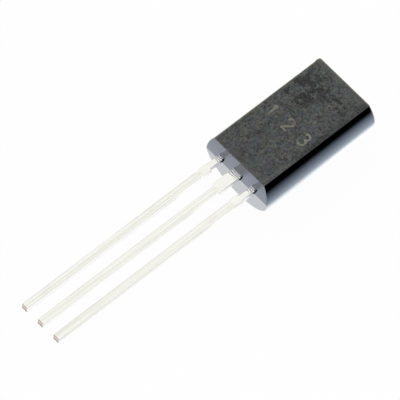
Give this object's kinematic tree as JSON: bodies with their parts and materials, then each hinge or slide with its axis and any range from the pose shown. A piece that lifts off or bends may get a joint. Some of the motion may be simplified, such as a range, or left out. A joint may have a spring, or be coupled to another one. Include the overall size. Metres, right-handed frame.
{
  "type": "to-92 transistor",
  "caption": "Long-body leaded transistor: D-shaped black epoxy moulding with a flat marking face, a rounded back and straight in-line stamped leads for through-hole soldering.",
  "frame": {"origin": "on the surface that the part lies on, midway along its length and centred across it", "axes": "+Z out of the flat face, -Y along the leads to their tips, +X across the leads from the emitter lead to the base lead"},
  "size_m": [0.0048, 0.0224, 0.0038],
  "materials": {
    "moulding_compound": "black filled epoxy, matte on the flat face, smooth and glossy on the rounded back and the ends",
    "tinned_copper": "bright tin plating over stamped copper alloy, bare copper on the sheared tips",
    "chip_solder": "dull solder",
    "silicon": "polished silicon",
    "gold_wire": "drawn gold"
  },
  "bodies": {
    "root": {"body": "moulding_compound", "lead_emitter": "tinned_copper", "lead_collector": "tinned_copper", "lead_base": "tinned_copper", "die_attach": "chip_solder", "die": "silicon", "bond_wire_emitter": "gold_wire", "bond_wire_base": "gold_wire"}
  },
  "joints": []
}
